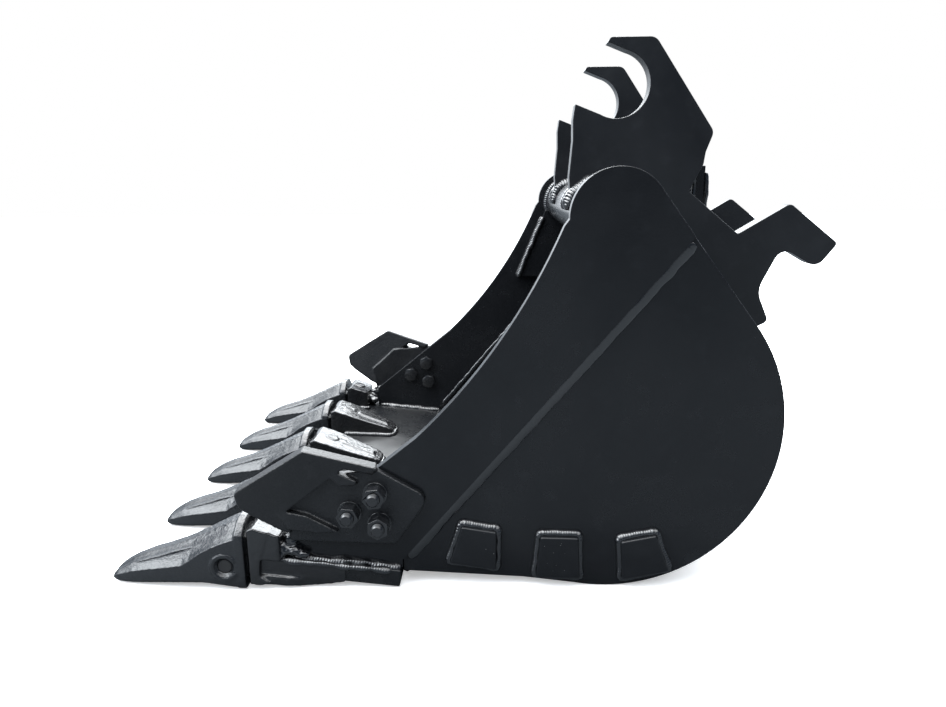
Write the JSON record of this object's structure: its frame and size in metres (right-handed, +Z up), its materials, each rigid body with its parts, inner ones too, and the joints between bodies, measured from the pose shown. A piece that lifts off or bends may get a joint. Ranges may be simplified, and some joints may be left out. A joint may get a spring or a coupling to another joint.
{
  "type": "excavator bucket",
  "caption": "Welded steel digging bucket with pinned cast tooth points, bolted side cutters, side wear pads and open hook ears for a quick hitch.",
  "frame": {"origin": "under the middle of the bucket, on the floor it stands on", "axes": "+X from the tooth tips towards the hitch heel, +Y across the width towards the right-hand side, +Z up"},
  "size_m": [0.9391, 0.7, 0.6652],
  "materials": {
    "plate_paint": "gloss",
    "tooth_cast": "satin over rough casting",
    "adapter_cast": "gloss over rough casting",
    "cutter_cast": "satin over rough casting",
    "fastener_paint": "satin",
    "pin_steel": "satin",
    "retainer_rubber": "matte"
  },
  "bodies": {
    "bucket": {"shell_wrapper": "plate_paint", "lip_plate": "plate_paint", "side_plate_left": "plate_paint", "side_plate_right": "plate_paint", "side_edge_left": "plate_paint", "side_edge_right": "plate_paint", "torque_tube": "plate_paint", "tube_gusset_left": "plate_paint", "tube_gusset_right": "plate_paint", "hitch_ear_left": "plate_paint", "hitch_ear_right": "plate_paint", "ear_cross_plate": "plate_paint", "adapter_1": "adapter_cast", "adapter_2": "adapter_cast", "adapter_3": "adapter_cast", "adapter_4": "adapter_cast", "adapter_5": "adapter_cast", "tooth_1": "tooth_cast", "tooth_2": "tooth_cast", "tooth_3": "tooth_cast", "tooth_4": "tooth_cast", "tooth_5": "tooth_cast", "pin_retainer_1": "retainer_rubber", "pin_retainer_2": "retainer_rubber", "pin_retainer_3": "retainer_rubber", "pin_retainer_4": "retainer_rubber", "pin_retainer_5": "retainer_rubber", "side_cutter_left": "cutter_cast", "side_cutter_right": "cutter_cast", "cutter_bolts_left": "fastener_paint", "cutter_bolts_right": "fastener_paint", "cutter_washers_left": "fastener_paint", "cutter_washers_right": "fastener_paint", "cutter_nuts_left": "fastener_paint", "cutter_nuts_right": "fastener_paint", "side_pads_left": "plate_paint", "side_pads_right": "plate_paint"},
    "lock_pin_1": {"lock_pin_1": "pin_steel"},
    "lock_pin_2": {"lock_pin_2": "pin_steel"},
    "lock_pin_3": {"lock_pin_3": "pin_steel"},
    "lock_pin_4": {"lock_pin_4": "pin_steel"},
    "lock_pin_5": {"lock_pin_5": "pin_steel"}
  },
  "joints": [
    {"name": "lock_pin_1_slide", "type": "slide", "parent": "bucket", "child": "lock_pin_1", "axis": [0, -1, 0], "range_m": [0, 0.07]},
    {"name": "lock_pin_2_slide", "type": "slide", "parent": "bucket", "child": "lock_pin_2", "axis": [0, -1, 0], "range_m": [0, 0.07]},
    {"name": "lock_pin_3_slide", "type": "slide", "parent": "bucket", "child": "lock_pin_3", "axis": [0, -1, 0], "range_m": [0, 0.07]},
    {"name": "lock_pin_4_slide", "type": "slide", "parent": "bucket", "child": "lock_pin_4", "axis": [0, -1, 0], "range_m": [0, 0.07]},
    {"name": "lock_pin_5_slide", "type": "slide", "parent": "bucket", "child": "lock_pin_5", "axis": [0, -1, 0], "range_m": [0, 0.07]}
  ]
}
